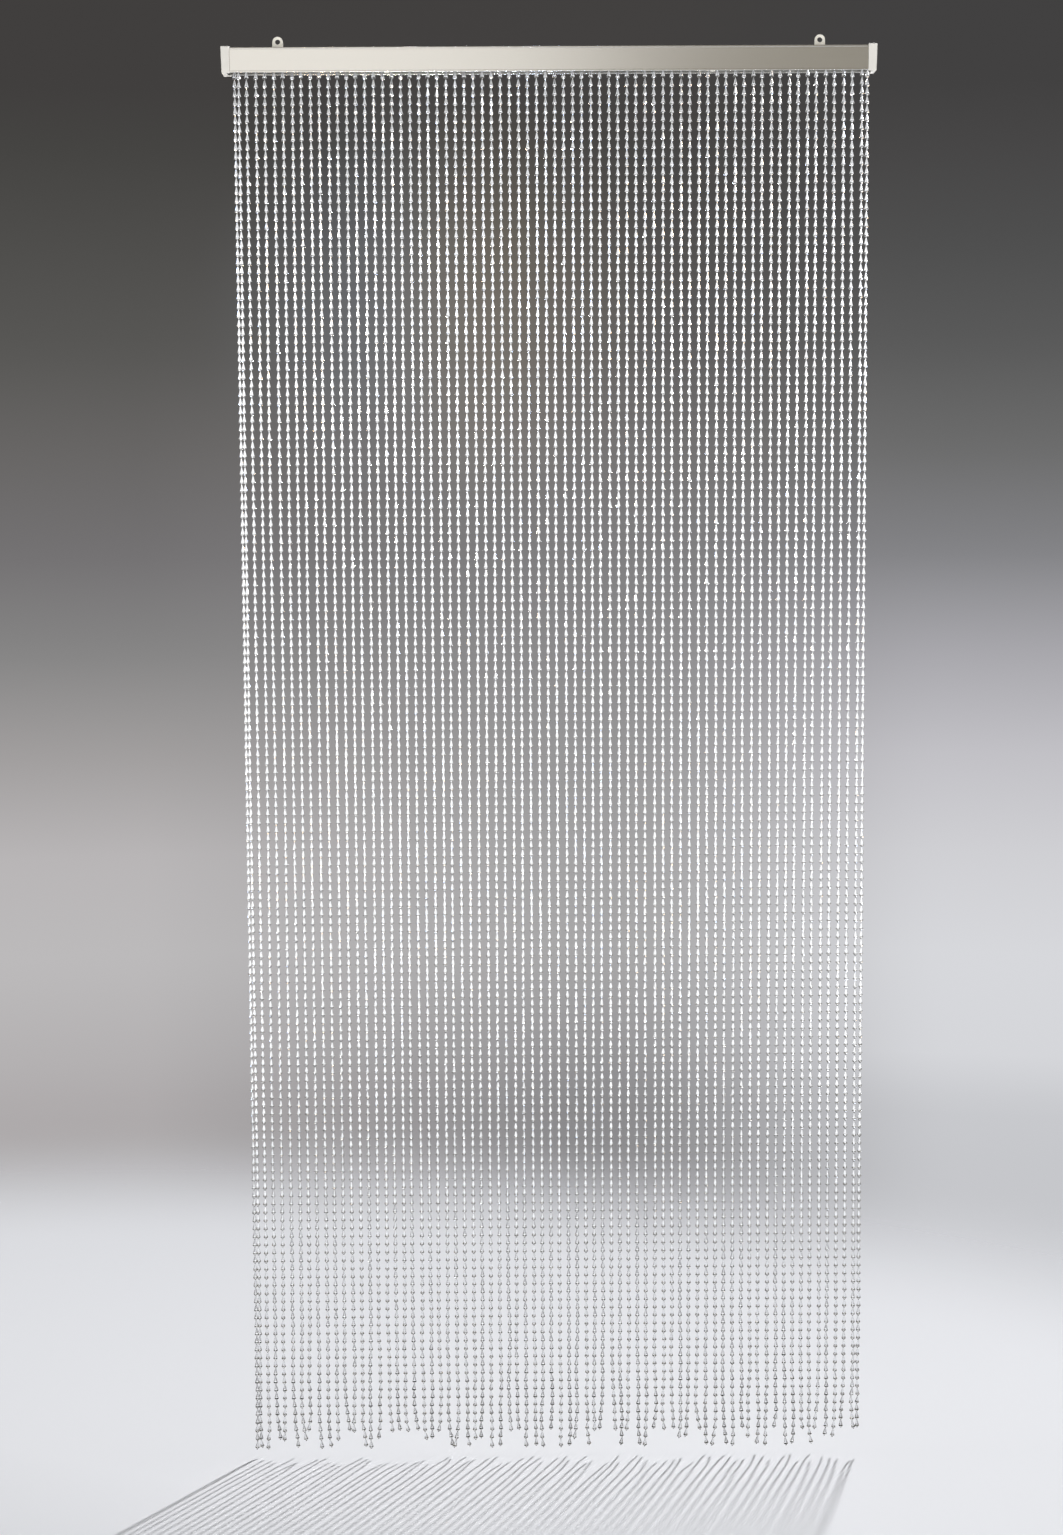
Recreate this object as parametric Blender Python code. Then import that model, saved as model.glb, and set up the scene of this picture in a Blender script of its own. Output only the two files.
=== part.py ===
"""Beaded fly curtain: strings of clear drop beads that hang from an aluminium header rail.

Lengths are in metres and +Z is up. The curtain faces -Y, and its wall or door frame is the plane y = 0.
The origin is midway between the two eyelet holes, on that plane.

Each thread is folded over a carrier rod inside the rail, so that its two ends hang as neighbouring strings.
"""

import math
import random

import bmesh
import bpy
from mathutils import Matrix, Vector

# Clearances
seat_gap = 0.0003          # between pieces that touch
cut_overrun = 0.0010       # how far a cutter runs past what it cuts

# Header rail, an extruded channel that is open at the bottom
curtain_width = 0.9000     # over both end caps
rail_height = 0.0335
rail_depth = 0.0250
rail_wall = 0.0012
top_band_height = 0.0025   # raised band along the front's top edge
lip_height = 0.0020        # raised band and inner lip along the bottom edge
band_proud = 0.0004
lip_inward = 0.0005
rail_corner_radius = 0.0010
corner_steps = 3

# End caps, cups that fit over the rail's ends
cap_length = 0.0122
cap_wall = 0.0012
cap_end_wall = 0.0020
cap_floor_length = 0.0077  # the floor is left out further in, where the last string hangs
cap_draft = 0.0010         # how far the outer end leans in at the bottom
cap_edge_radius = 0.0010
socket_wall = 0.0018       # round the rod's end
socket_length = 0.0037

# Carrier rod
rod_radius = 0.0020
rod_clearance = 0.0003
rod_above_lip = 0.0042     # its axis above the rail's lower edge
rod_sides = 12

# Rod saddles, clips that are snapped into the channel
saddle_count = 3
saddle_length = 0.0060     # along the rod
saddle_post = 0.0020
saddle_bar = 0.0022
saddle_hanger = 0.0030
saddle_ring_wall = 0.0018
saddle_ring_steps = 8

# Hanging eyelets, lugs behind the rail
eyelet_inset = 0.0760      # hole centre from each end of the curtain
eyelet_rise = 0.0113       # hole centre above the rail's top
eyelet_hole_radius = 0.0035
lug_radius = 0.00725       # also half the lug's width
lug_thickness = 0.0020
lug_tail = 0.0180          # below the rail's top
lug_corner_radius = 0.0020
hole_sides = 18

# Rivets, countersunk in the back of the lugs
rivet_radius = 0.0016
rivet_drop = 0.0105        # below the rail's top
rivet_head_radius = 0.0030
rivet_head_depth = 0.0012
rivet_tail_radius = 0.0026
rivet_tail_length = 0.0016
rivet_sides = 10

# Strings of beads
string_pitch = 0.01245
left_margin = 0.0175       # end of the curtain to the first string
right_margin = 0.0112
left_pair_gap = 0.0051     # the outer pairs hang closer together
left_pair_to_next = 0.0113
right_pair_gap = 0.0083
string_drop = 1.9440       # from the first bead's top to the ends, on average
first_bead_inside_rail = 0.0022
thread_radius = 0.0005
thread_shoulder = 0.0004   # between the thread and the first bead
bead_length = 0.0120
bead_radius = 0.0032
neck_radius = 0.0009
rim_share = 0.74           # how far down a bead its widest place is
bead_sides = 6
shaped_beads_at_top = 2    # beads with their true form; the run between is plain, with the same volume
shaped_beads_at_bottom = 2
loop_steps = 4             # straight runs of thread over the rod
ragged_beads_shares = (-1, 0, 1, 1)
ragged_seed = 11

# Places worked out from the sizes above
half_width = curtain_width / 2
rail_top = -eyelet_rise
rail_bottom = rail_top - rail_height
rail_middle = -(lug_thickness + seat_gap + rail_depth / 2)
rail_half_length = half_width - cap_end_wall - seat_gap
rod_height = rail_bottom + rod_above_lip
inner_front = rail_middle - rail_depth / 2 + band_proud + rail_wall
inner_rear = rail_middle + rail_depth / 2 - rail_wall
inner_top = rail_top - rail_wall
eyelet_place = half_width - eyelet_inset
bead_start = rail_bottom + first_bead_inside_rail
loop_radius = (rod_radius + seat_gap + thread_radius) / math.cos(math.pi / (2 * loop_steps))


def clear_scene():
    for item in list(bpy.data.objects):
        bpy.data.objects.remove(item, do_unlink=True)


def principled(name, colour, roughness, metallic=0.0, transmission=0.0):
    material = bpy.data.materials.new(name)
    material.use_nodes = True
    shader = material.node_tree.nodes["Principled BSDF"]
    shader.inputs["Base Color"].default_value = (*colour, 1.0)
    shader.inputs["Roughness"].default_value = roughness
    shader.inputs["Metallic"].default_value = metallic
    shader.inputs["Transmission Weight"].default_value = transmission
    material.diffuse_color = (*colour, 1.0)
    return material


def anodised_aluminium(name):
    return principled(name, (0.72, 0.70, 0.66), 0.38, metallic=1.0)


def moulded_plastic(name):
    return principled(name, (0.80, 0.79, 0.75), 0.42)


def bright_steel(name):
    return principled(name, (0.62, 0.62, 0.61), 0.28, metallic=1.0)


def clear_acrylic(name):
    return principled(name, (0.95, 0.96, 0.97), 0.06, transmission=0.9)


def add_object(name, mesh_maker, material=None, smooth_angle=None):
    """An object from a bmesh, with its faces pointing out."""
    bmesh.ops.recalc_face_normals(mesh_maker, faces=mesh_maker.faces)
    mesh = bpy.data.meshes.new(name)
    mesh_maker.to_mesh(mesh)
    mesh_maker.free()
    if smooth_angle is not None:
        mesh.shade_smooth()
        mesh.set_sharp_from_angle(angle=smooth_angle)
    item = bpy.data.objects.new(name, mesh)
    bpy.context.scene.collection.objects.link(item)
    if material:
        mesh.materials.append(material(name + "_finish"))
    return item


def box(name, low, high):
    """A box between two opposite corners."""
    maker = bmesh.new()
    bmesh.ops.create_cube(maker, size=1.0)
    size = [h - l for l, h in zip(low, high)]
    middle = [(l + h) / 2 for l, h in zip(low, high)]
    bmesh.ops.scale(maker, vec=size, verts=maker.verts)
    bmesh.ops.translate(maker, vec=middle, verts=maker.verts)
    return add_object(name, maker)


def prism(name, outline, along, start, end, material=None, smooth_angle=None):
    """An outline pushed along X from (y, z) points, or along Y from (x, z) points."""
    maker = bmesh.new()

    def place(point, depth):
        return (depth, *point) if along == "X" else (point[0], depth, point[1])

    face = maker.faces.new([maker.verts.new(place(p, start)) for p in outline])
    pushed = bmesh.ops.extrude_face_region(maker, geom=[face])
    moved = [v for v in pushed["geom"] if isinstance(v, bmesh.types.BMVert)]
    direction = Vector(place((0, 0), 1)) * (end - start)
    bmesh.ops.translate(maker, vec=direction, verts=moved)
    return add_object(name, maker, material, smooth_angle)


def turned(name, profile, sides, axis, place, material=None):
    """A profile of (distance along the axis, radius) points turned about X or Y, from tip to tip."""
    maker = bmesh.new()
    rings = []
    for distance, radius in profile:
        if radius == 0:
            rings.append([maker.verts.new((distance, 0, 0))])
            continue
        angles = [2 * math.pi * n / sides for n in range(sides)]
        circle = [(distance, radius * math.cos(a), radius * math.sin(a)) for a in angles]
        rings.append([maker.verts.new(point) for point in circle])
    join_rings(maker, rings)
    if axis == "Y":
        bmesh.ops.rotate(maker, matrix=Matrix.Rotation(math.pi / 2, 3, "Z"), verts=maker.verts)
    bmesh.ops.translate(maker, vec=place, verts=maker.verts)
    return add_object(name, maker, material, smooth_angle=math.radians(40))


def join_rings(maker, rings):
    """Faces between each ring and the next; a ring of one point is a tip, and an end ring is closed flat."""
    for ring, after in zip(rings, rings[1:]):
        count = max(len(ring), len(after))
        for n in range(count):
            m = (n + 1) % count
            near = [ring[n % len(ring)], ring[m % len(ring)]]
            corners = near + [after[m % len(after)], after[n % len(after)]]
            unlike = [c for k, c in enumerate(corners) if c not in corners[:k]]
            maker.faces.new(unlike)
    for ring in (rings[0], rings[-1]):
        if len(ring) > 1:
            maker.faces.new(ring)


def change(target, tool, operation):
    """A Boolean with a tool object that stays out of the model."""
    modifier = target.modifiers.new(operation.title(), "BOOLEAN")
    modifier.operation = operation
    modifier.solver = "EXACT"
    modifier.object = tool
    tool.hide_render = True
    tool.display_type = "WIRE"


def round_edges(target, radius, steps):
    modifier = target.modifiers.new("Edges", "BEVEL")
    modifier.width = radius
    modifier.segments = steps
    modifier.limit_method = "ANGLE"
    modifier.use_clamp_overlap = True


def arc(centre, radius, start, end, steps):
    """Points on an arc, both ends included, with angles in degrees."""
    angles = [math.radians(start + (end - start) * n / steps) for n in range(steps + 1)]
    return [(centre[0] + radius * math.cos(a), centre[1] + radius * math.sin(a)) for a in angles]


def make_header_rail():
    """The channel, with one rivet hole behind each eyelet."""
    front = rail_middle - rail_depth / 2
    rear = rail_middle + rail_depth / 2
    corner = rail_corner_radius
    outline = [(front, rail_bottom), (front, rail_bottom + lip_height - band_proud)]
    outline += [(front + band_proud, rail_bottom + lip_height)]
    outline += [(front + band_proud, rail_top - top_band_height)]
    outline += [(front, rail_top - top_band_height + band_proud)]
    outline += arc((front + corner, rail_top - corner), corner, 180, 90, corner_steps)
    outline += arc((rear - corner, rail_top - corner), corner, 90, 0, corner_steps)
    outline += [(rear, rail_bottom), (inner_rear - lip_inward, rail_bottom)]
    outline += [(inner_rear - lip_inward, rail_bottom + lip_height - lip_inward)]
    outline += [(inner_rear, rail_bottom + lip_height), (inner_rear, inner_top)]
    outline += [(inner_front, inner_top), (inner_front, rail_bottom + lip_height)]
    outline += [(inner_front + lip_inward, rail_bottom + lip_height - lip_inward)]
    outline += [(inner_front + lip_inward, rail_bottom)]
    rail = prism("header_rail", outline, "X", -rail_half_length, rail_half_length, anodised_aluminium,
                 smooth_angle=math.radians(35))
    for side in (-1, 1):
        hole = turned("rivet_hole_cutter", [(-rail_wall - cut_overrun, 0),
                                            (-rail_wall - cut_overrun, rivet_radius + seat_gap),
                                            (cut_overrun, rivet_radius + seat_gap), (cut_overrun, 0)],
                      rivet_sides, "Y", (side * eyelet_place, rear, rail_top - rivet_drop))
        change(rail, hole, "DIFFERENCE")


def make_end_cap(name, side):
    """A cup over the rail's end, with a socket for the rod. side is -1 at the left and 1 at the right."""
    fit = seat_gap + cap_wall
    end = half_width
    mouth = half_width - cap_length
    pocket_front = rail_middle - rail_depth / 2 - seat_gap
    pocket_rear = rail_middle + rail_depth / 2 + seat_gap

    def sided(low, high):
        return sorted((side * low, side * high))

    def block(label, x_range, y_range, z_range):
        x_low, x_high = sided(*x_range)
        return box(label, (x_low, y_range[0], z_range[0]), (x_high, y_range[1], z_range[1]))

    low = rail_bottom - fit
    high = rail_top + fit
    outline = [(side * mouth, low), (side * (end - cap_draft), low)]
    outline += [(side * end, high - 2 * cap_edge_radius), (side * end, high), (side * mouth, high)]
    cap = prism(name, outline, "Y", pocket_front - cap_wall, pocket_rear + cap_wall, moulded_plastic)
    round_edges(cap, cap_edge_radius, 2)
    inside = (pocket_front, pocket_rear)
    pocket = block("cap_pocket_cutter", (mouth - cut_overrun, end - cap_end_wall), inside,
                   (rail_bottom - seat_gap, rail_top + seat_gap))
    change(cap, pocket, "DIFFERENCE")
    floor = block("cap_floor_cutter", (mouth - cut_overrun, end - cap_floor_length), inside,
                  (low - cut_overrun, rail_bottom))
    change(cap, floor, "DIFFERENCE")
    socket_start = end - cap_end_wall - socket_length
    socket_radius = rod_radius + rod_clearance + socket_wall
    socket_end = end - cap_end_wall / 2
    socket = turned("cap_socket", [(side * socket_start, 0), (side * socket_start, socket_radius),
                                   (side * socket_end, socket_radius), (side * socket_end, 0)],
                    rod_sides, "X", (0, rail_middle, rod_height))
    change(cap, socket, "UNION")
    bore_start = socket_start - cut_overrun
    bore_end = end - cap_end_wall
    bore_radius = rod_radius + rod_clearance
    bore = turned("cap_bore_cutter", [(side * bore_start, 0), (side * bore_start, bore_radius),
                                      (side * bore_end, bore_radius), (side * bore_end, 0)],
                  rod_sides, "X", (0, rail_middle, rod_height))
    change(cap, bore, "DIFFERENCE")


def make_carrier_rod():
    end = rail_half_length
    profile = [(-end, 0), (-end, rod_radius), (end, rod_radius), (end, 0)]
    turned("carrier_rod", profile, rod_sides, "X", (0, rail_middle, rod_height), bright_steel)


def make_rod_saddle(name, place):
    """A clip: two sprung posts behind the rail's lips, and between them a hanger with a ring for the rod."""
    low = rail_bottom + lip_height + seat_gap
    high = inner_top - seat_gap
    front = inner_front + seat_gap
    rear = inner_rear - seat_gap
    under_bar = high - saddle_bar
    ring_radius = rod_radius + rod_clearance + saddle_ring_wall
    half_hanger = saddle_hanger / 2
    meets = math.degrees(math.acos(half_hanger / ring_radius))
    ring = arc((rail_middle, rod_height), ring_radius, meets, meets - (180 + 2 * meets), saddle_ring_steps)
    outline = [(front, low), (front, high), (rear, high), (rear, low), (rear - saddle_post, low)]
    outline += [(rear - saddle_post, under_bar), (rail_middle + half_hanger, under_bar)]
    outline += ring
    outline += [(rail_middle - half_hanger, under_bar)]
    outline += [(front + saddle_post, under_bar), (front + saddle_post, low)]
    saddle = prism(name, outline, "X", place - saddle_length / 2, place + saddle_length / 2, moulded_plastic)
    half = saddle_length / 2 + cut_overrun
    bore_radius = rod_radius + rod_clearance
    bore = turned("saddle_bore_cutter", [(-half, 0), (-half, bore_radius), (half, bore_radius), (half, 0)],
                  rod_sides, "X", (place, rail_middle, rod_height))
    change(saddle, bore, "DIFFERENCE")


def make_hanging_eyelet(name, side):
    """A lug with a round top and hole, and a countersunk hole for its rivet. Its back is the wall's plane."""
    x = side * eyelet_place
    low = rail_top - lug_tail
    corner = lug_corner_radius
    outline = arc((x, 0), lug_radius, 0, 180, hole_sides // 2)
    outline += arc((x - lug_radius + corner, low + corner), corner, 180, 270, corner_steps)
    outline += arc((x + lug_radius - corner, low + corner), corner, 270, 360, corner_steps)
    lug = prism(name, outline, "Y", -lug_thickness, 0, moulded_plastic, smooth_angle=math.radians(35))
    through = (-lug_thickness - cut_overrun, cut_overrun)
    hole = turned("eyelet_cutter", [(through[0], 0), (through[0], eyelet_hole_radius),
                                    (through[1], eyelet_hole_radius), (through[1], 0)],
                  hole_sides, "Y", (x, 0, 0))
    change(lug, hole, "DIFFERENCE")
    shank = rivet_radius + seat_gap
    head = rivet_head_radius + seat_gap
    rivet_hole = turned("countersink_cutter", [(through[0], 0), (through[0], shank),
                                               (-seat_gap - rivet_head_depth, shank), (-seat_gap, head),
                                               (through[1], head), (through[1], 0)],
                        rivet_sides, "Y", (x, 0, rail_top - rivet_drop))
    change(lug, rivet_hole, "DIFFERENCE")


def make_eyelet_rivet(name, side):
    """A countersunk rivet through the lug and the rail's rear wall, with its tail set inside the channel."""
    tail = inner_rear - seat_gap
    head_back = -seat_gap
    tip = tail - rivet_tail_length
    profile = [(tip, 0), (tip, rivet_tail_radius / 2), (tip + rivet_tail_length / 2, rivet_tail_radius)]
    profile += [(tail, rivet_tail_radius), (tail, rivet_radius)]
    profile += [(head_back - rivet_head_depth, rivet_radius), (head_back, rivet_head_radius), (head_back, 0)]
    turned(name, profile, rivet_sides, "Y", (side * eyelet_place, 0, rail_top - rivet_drop), bright_steel)


def string_places():
    """Where the strings hang along the rail, from left to right: always an even number of them."""
    first = -half_width + left_margin
    regular_start = first + left_pair_gap + left_pair_to_next
    regular_end = half_width - right_margin - right_pair_gap
    regular_gaps = 2 * round((regular_end - regular_start) / string_pitch / 2)
    pitch = (regular_end - regular_start) / regular_gaps
    regular = [regular_start + n * pitch for n in range(regular_gaps + 1)]
    return [first, first + left_pair_gap, *regular, regular_end + right_pair_gap]


def plain_radius():
    """The radius of a plain run that holds as much as the beads it stands for."""
    return math.sqrt((neck_radius**2 + neck_radius * bead_radius + bead_radius**2) / 3)


def string_stations(bead_count):
    """(distance below the first bead's top, radius) down one string."""
    stations = [(-thread_shoulder, thread_radius), (0, neck_radius)]

    def shape_bead(number):
        stations.append(((number + rim_share) * bead_length, bead_radius))
        stations.append(((number + 1) * bead_length, neck_radius))

    for number in range(shaped_beads_at_top):
        shape_bead(number)
    slope_share = (plain_radius() - neck_radius) / (bead_radius - neck_radius)
    plain_start = shaped_beads_at_top + slope_share * rim_share
    plain_end = bead_count - shaped_beads_at_bottom - slope_share * (1 - rim_share)
    stations.append((plain_start * bead_length, plain_radius()))
    stations.append((plain_end * bead_length, plain_radius()))
    stations.append(((bead_count - shaped_beads_at_bottom) * bead_length, neck_radius))
    for number in range(bead_count - shaped_beads_at_bottom, bead_count):
        shape_bead(number)
    return stations


def loop_over_rod(left, right):
    """Centres of the thread from the front of the rod, over its top, to the rear, in the pair's own frame."""
    points = []
    for n in range(loop_steps + 1):
        share = n / loop_steps
        angle = math.pi * (1 - share)
        eased = share * share * (3 - 2 * share)
        across = left + (right - left) * eased
        points.append(Vector((across, loop_radius * math.cos(angle), loop_radius * math.sin(angle))))
    return points


def swept_tube(points, radii):
    """A closed tube of bead_sides sides through points, kept square to its path, as a bmesh."""
    maker = bmesh.new()
    rings = []
    side = Vector((1, 0, 0))
    for n, (point, radius) in enumerate(zip(points, radii)):
        path = points[min(n + 1, len(points) - 1)] - points[max(n - 1, 0)]
        path.normalize()
        side = (side - path * side.dot(path)).normalized()
        other = path.cross(side)
        angles = [2 * math.pi * k / bead_sides for k in range(bead_sides)]
        spokes = [math.cos(a) * side + math.sin(a) * other for a in angles]
        rings.append([maker.verts.new(point + radius * spoke) for spoke in spokes])
    join_rings(maker, rings)
    return maker


def make_string_pair(name, left, right, bead_counts):
    """Two strings on one thread. The left one hangs in front of the rod, the right one behind it."""
    middle = (left + right) / 2
    left_end = left - middle
    right_end = right - middle
    start = bead_start - rod_height
    points = []
    radii = []
    for distance, radius in reversed(string_stations(bead_counts[0])):
        points.append(Vector((left_end, -loop_radius, start - distance)))
        radii.append(radius)
    over = loop_over_rod(left_end, right_end)
    points += over
    radii += [thread_radius] * len(over)
    for distance, radius in string_stations(bead_counts[1]):
        points.append(Vector((right_end, loop_radius, start - distance)))
        radii.append(radius)
    pair = add_object(name, swept_tube(points, radii), clear_acrylic)
    pair.location = (middle, rail_middle, rod_height)


def make_string_pairs():
    """All the pairs. Their ends are a bead or so longer or shorter, as cut by hand."""
    places = string_places()
    usual_count = round(string_drop / bead_length)
    chance = random.Random(ragged_seed)
    for number, (left, right) in enumerate(zip(places[0::2], places[1::2]), start=1):
        counts = [usual_count + chance.choice(ragged_beads_shares) for _ in range(2)]
        make_string_pair(f"string_pair_{number:02d}", left, right, counts)
    return places


def saddle_places(places):
    """Between two pairs, as near as can be to equal spans of the rod."""
    between = [(a + b) / 2 for a, b in zip(places[1::2], places[2::2])]
    wanted = [-half_width + curtain_width * n / (saddle_count + 1) for n in range(1, saddle_count + 1)]
    return [min(between, key=lambda x: abs(x - w)) for w in wanted]


def main():
    clear_scene()
    make_header_rail()
    for side, word in ((-1, "left"), (1, "right")):
        make_end_cap(f"end_cap_{word}", side)
        make_hanging_eyelet(f"hanging_eyelet_{word}", side)
        make_eyelet_rivet(f"eyelet_rivet_{word}", side)
    make_carrier_rod()
    places = make_string_pairs()
    for number, place in enumerate(saddle_places(places), start=1):
        make_rod_saddle(f"rod_saddle_{number}", place)
    gaps = [b - a for a, b in zip(places, places[1:])]
    print(f"{len(places)} strings, {min(gaps) * 1000:.2f} to {max(gaps) * 1000:.2f} mm apart")
    clear = loop_radius * math.cos(math.pi / (2 * loop_steps)) - thread_radius - rod_radius
    print(f"each loop clears the rod by {clear * 1000:.2f} mm")


main()
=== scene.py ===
# %% [markdown]
# # A beaded fly curtain
# Seventy-two strings of clear drop beads hang from an aluminium rail. The solids of the rail, its end caps and its
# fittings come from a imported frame, which also says how each pair of strings swings. This lesson dresses that frame:
# it gives every metal and plastic part its finish and models all the beads, one by one.
# The first three lines load the frame, which is never moved. Everything is in metres, with +Z up.

# %% Load the frame
import math
import random

import bpy
import numpy as np
from mathutils import Matrix, Vector


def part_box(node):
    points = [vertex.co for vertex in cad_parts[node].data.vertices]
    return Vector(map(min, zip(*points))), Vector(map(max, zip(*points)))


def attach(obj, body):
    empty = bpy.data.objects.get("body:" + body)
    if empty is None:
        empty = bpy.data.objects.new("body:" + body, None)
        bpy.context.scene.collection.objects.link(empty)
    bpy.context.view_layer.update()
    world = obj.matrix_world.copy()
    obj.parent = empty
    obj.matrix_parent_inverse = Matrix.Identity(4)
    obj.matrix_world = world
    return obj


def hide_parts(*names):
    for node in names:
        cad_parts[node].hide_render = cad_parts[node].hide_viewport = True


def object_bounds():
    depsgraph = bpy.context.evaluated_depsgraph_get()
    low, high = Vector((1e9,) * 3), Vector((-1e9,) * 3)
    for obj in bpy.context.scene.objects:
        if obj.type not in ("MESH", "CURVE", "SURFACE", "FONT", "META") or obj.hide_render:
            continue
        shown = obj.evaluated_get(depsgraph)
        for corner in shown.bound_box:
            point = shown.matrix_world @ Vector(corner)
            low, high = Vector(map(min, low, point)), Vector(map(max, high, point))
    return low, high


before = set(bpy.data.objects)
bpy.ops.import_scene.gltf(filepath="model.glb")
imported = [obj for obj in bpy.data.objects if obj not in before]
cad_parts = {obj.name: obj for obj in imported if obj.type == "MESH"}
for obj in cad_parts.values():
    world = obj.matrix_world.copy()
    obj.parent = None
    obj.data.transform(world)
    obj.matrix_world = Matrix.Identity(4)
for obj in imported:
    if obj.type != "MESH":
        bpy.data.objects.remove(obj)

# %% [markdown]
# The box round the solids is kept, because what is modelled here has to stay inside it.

mm = 0.001
cad_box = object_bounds()
print("the solids reach from", *[[round(c, 4) for c in corner] for corner in cad_box])

# %% [markdown]
# ## The camera
# The photograph was taken from a third of the way down the curtain, 3.5 m in front of it and a little left of its
# middle, with the camera tilted down. A camera could be placed by eye. These values were worked out from the strings'
# spacing and the beads' pitch at several heights, so that all lines run as in the photograph. The picture is upright,
# so the lens is worked out for its long side.

# %% Camera
picture_width = 1063
picture_height = 1535
film_side = 36.0
focal_length_in_pixels = 2487
camera_distance = 3.5
camera_below_rail_top = 0.642
camera_left_of_middle = 0.051
tilt_down = math.radians(5.75)
turn_right = math.radians(0.35)
roll = math.radians(-0.32)

rail_low, rail_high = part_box("header_rail")
rail_middle = (rail_low.y + rail_high.y) / 2
lens = bpy.data.cameras.new("camera")
lens.sensor_width = film_side
lens.lens = film_side * focal_length_in_pixels / max(picture_width, picture_height)
camera = bpy.data.objects.new("camera", lens)
bpy.context.scene.collection.objects.link(camera)
place = Vector((-camera_left_of_middle, rail_middle - camera_distance, rail_high.z - camera_below_rail_top))
aim = Matrix.Rotation(-turn_right, 4, "Z") @ Matrix.Rotation(math.pi / 2 - tilt_down, 4, "X")
camera.matrix_world = Matrix.Translation(place) @ aim @ Matrix.Rotation(roll, 4, "Z")
bpy.context.scene.camera = camera
print(f"lens of {lens.lens:.1f} mm at {tuple(round(c, 3) for c in place)}")

# %% [markdown]
# ## Colours and nodes
# Colours are written as a screen shows them, in sRGB hex. Shaders count light itself, which is linear, so one function
# turns one into the other. A second function adds a shader node, sets it up and links it, and a third starts a
# material. All materials are built from these three.

# %% Helpers for materials
def linear(hex_colour):
    """A hex colour as the linear numbers that a shader wants."""
    parts = [int(hex_colour[n:n + 2], 16) / 255 for n in (1, 3, 5)]
    return (*[p / 12.92 if p <= 0.04045 else ((p + 0.055) / 1.055) ** 2.4 for p in parts], 1.0)


def add_node(tree, kind, inputs, **settings):
    """A node with its settings. Each input is a value, or the socket that it takes its value from."""
    node = tree.nodes.new(kind)
    for name, value in settings.items():
        setattr(node, name, value)
    for name, value in inputs.items():
        if isinstance(value, bpy.types.NodeSocket):
            tree.links.new(value, node.inputs[name])
        else:
            node.inputs[name].default_value = value
    return node


def start_material(name, **uniform):
    """A new material, its node tree and its shader, with the values that are the same all over."""
    material = bpy.data.materials.new(name)
    material.use_nodes = True
    shader = material.node_tree.nodes["Principled BSDF"]
    for socket, value in uniform.items():
        shader.inputs[socket.replace("_", " ")].default_value = value
    return material, material.node_tree, shader


# %% [markdown]
# ## Aluminium, extruded and anodised
# The rail is an aluminium extrusion. The die leaves fine straight lines along it, and the anodising that follows turns
# them into a satin sheen. Its reflections are soft and smear across the lines, so the rail shows the studio's bright
# side at the left and its dark side at the right, with no sharp picture of either. The lines could be cut into the
# mesh or come from a picture. Noise that is stretched along the rail gives them at any size and needs neither. Real
# die lines are about 0.2 mm apart. They are drawn at 0.9 mm, because finer ones would vanish.

# %% Anodised aluminium
def anodised_aluminium():
    material, tree, shader = start_material("anodised_aluminium", Metallic=1.0, Anisotropic=0.35)
    line_spacing = 0.9 * mm
    line_length = 400 * mm
    where = add_node(tree, "ShaderNodeTexCoord", {}).outputs["Object"]
    stretched = add_node(tree, "ShaderNodeMapping", {
        "Vector": where, "Scale": (1 / line_length, 1 / line_spacing, 1 / line_spacing)}).outputs["Vector"]
    lines = add_node(tree, "ShaderNodeTexNoise", {
        "Vector": stretched, "Scale": 1.0, "Detail": 3.0, "Roughness": 0.55}).outputs["Fac"]
    tint = add_node(tree, "ShaderNodeMix", {
        "Factor": lines, "A": linear("#D5D4D1"), "B": linear("#E2E1DE")}, data_type="RGBA").outputs["Result"]
    sheen = add_node(tree, "ShaderNodeMapRange", {
        "Value": lines, "To Min": 0.18, "To Max": 0.27}).outputs["Result"]
    relief = add_node(tree, "ShaderNodeBump", {
        "Height": lines, "Strength": 0.08, "Distance": 0.02 * mm}).outputs["Normal"]
    tree.links.new(tint, shader.inputs["Base Color"])
    tree.links.new(sheen, shader.inputs["Roughness"])
    tree.links.new(relief, shader.inputs["Normal"])
    return material


# %% [markdown]
# ## Plastic, injection moulded
# The end caps, the eyelets and the clips inside are moulded from opaque plastic. The mould's spark-eroded steel leaves
# a fine grain of about 0.1 mm, drawn here at 0.4 mm, which breaks up the gloss. It is far finer than a pixel, so a
# bump does for it and the mesh stays plain. Thin edges of such a plastic look lighter, because light comes through
# them a little way, so it gets a trace of subsurface scatter.

# %% Moulded plastic
def moulded_plastic(name, pale, deep, grain=0.4 * mm):
    material, tree, shader = start_material(
        name, IOR=1.5, Subsurface_Weight=0.05, Subsurface_Radius=(1.0, 0.95, 0.9), Subsurface_Scale=0.8 * mm)
    where = add_node(tree, "ShaderNodeTexCoord", {}).outputs["Object"]
    pits = add_node(tree, "ShaderNodeTexVoronoi", {
        "Vector": where, "Scale": 1 / grain}, feature="SMOOTH_F1").outputs["Distance"]
    flow = add_node(tree, "ShaderNodeTexNoise", {
        "Vector": where, "Scale": 1 / (9 * mm), "Detail": 2.0}).outputs["Fac"]
    tint = add_node(tree, "ShaderNodeMix", {
        "Factor": flow, "A": linear(deep), "B": linear(pale)}, data_type="RGBA").outputs["Result"]
    gloss = add_node(tree, "ShaderNodeMapRange", {
        "Value": flow, "To Min": 0.34, "To Max": 0.46}).outputs["Result"]
    relief = add_node(tree, "ShaderNodeBump", {
        "Height": pits, "Strength": 0.25, "Distance": 0.03 * mm}).outputs["Normal"]
    tree.links.new(tint, shader.inputs["Base Color"])
    tree.links.new(gloss, shader.inputs["Roughness"])
    tree.links.new(relief, shader.inputs["Normal"])
    return material


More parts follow.
